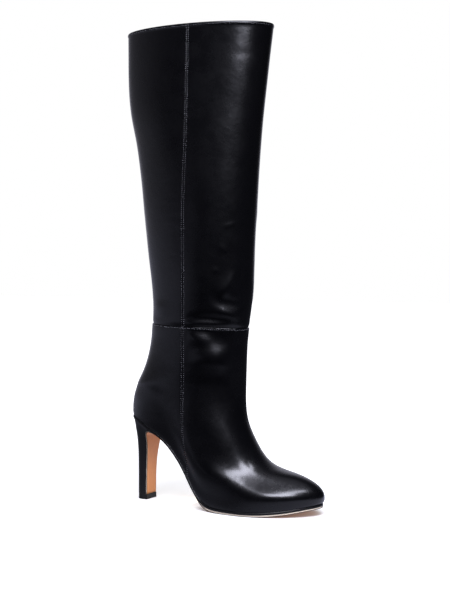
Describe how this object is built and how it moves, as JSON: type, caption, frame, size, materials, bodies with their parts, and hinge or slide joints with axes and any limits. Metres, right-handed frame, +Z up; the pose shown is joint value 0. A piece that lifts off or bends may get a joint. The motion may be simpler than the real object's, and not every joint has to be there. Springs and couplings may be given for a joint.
{
  "type": "knee-high heeled boot",
  "caption": "Knee-high leather boot with a slim covered heel, an ankle seam and a half-length zip on the inner side; right shoe.",
  "frame": {"origin": "middle of the top lift's bottom face, on the floor", "axes": "+X to the toe, +Y to the inner (medial) side of the foot, +Z up"},
  "size_m": [0.2248, 0.0895, 0.4944],
  "materials": {
    "foot_leather": "glossy black calf",
    "shaft_leather": "glossy black calf",
    "sole_edge": "black painted edge",
    "sole_leather": "smooth tan sole leather",
    "lining": "matte black lining",
    "heel_cover": "glossy black calf over a moulded block",
    "top_lift": "matte black",
    "zip_tape": "woven black tape",
    "zip_metal": "black nickel"
  },
  "bodies": {
    "boot": {"upper": "foot_leather", "shaft": "shaft_leather", "midsole": "sole_edge", "outsole": "sole_leather", "insole": "lining", "heel": "heel_cover", "top_lift": "top_lift", "zip_tape": "zip_tape", "zip_slider": "zip_metal"},
    "pull": {"zip_pull": "zip_metal"}
  },
  "joints": [
    {"name": "pull_swing", "type": "hinge", "parent": "boot", "child": "pull", "pos_m": [0.06954, 0.04392, 0.26189], "axis": [0.9993, -0.0386, 0], "range_deg": [0, 165]}
  ]
}
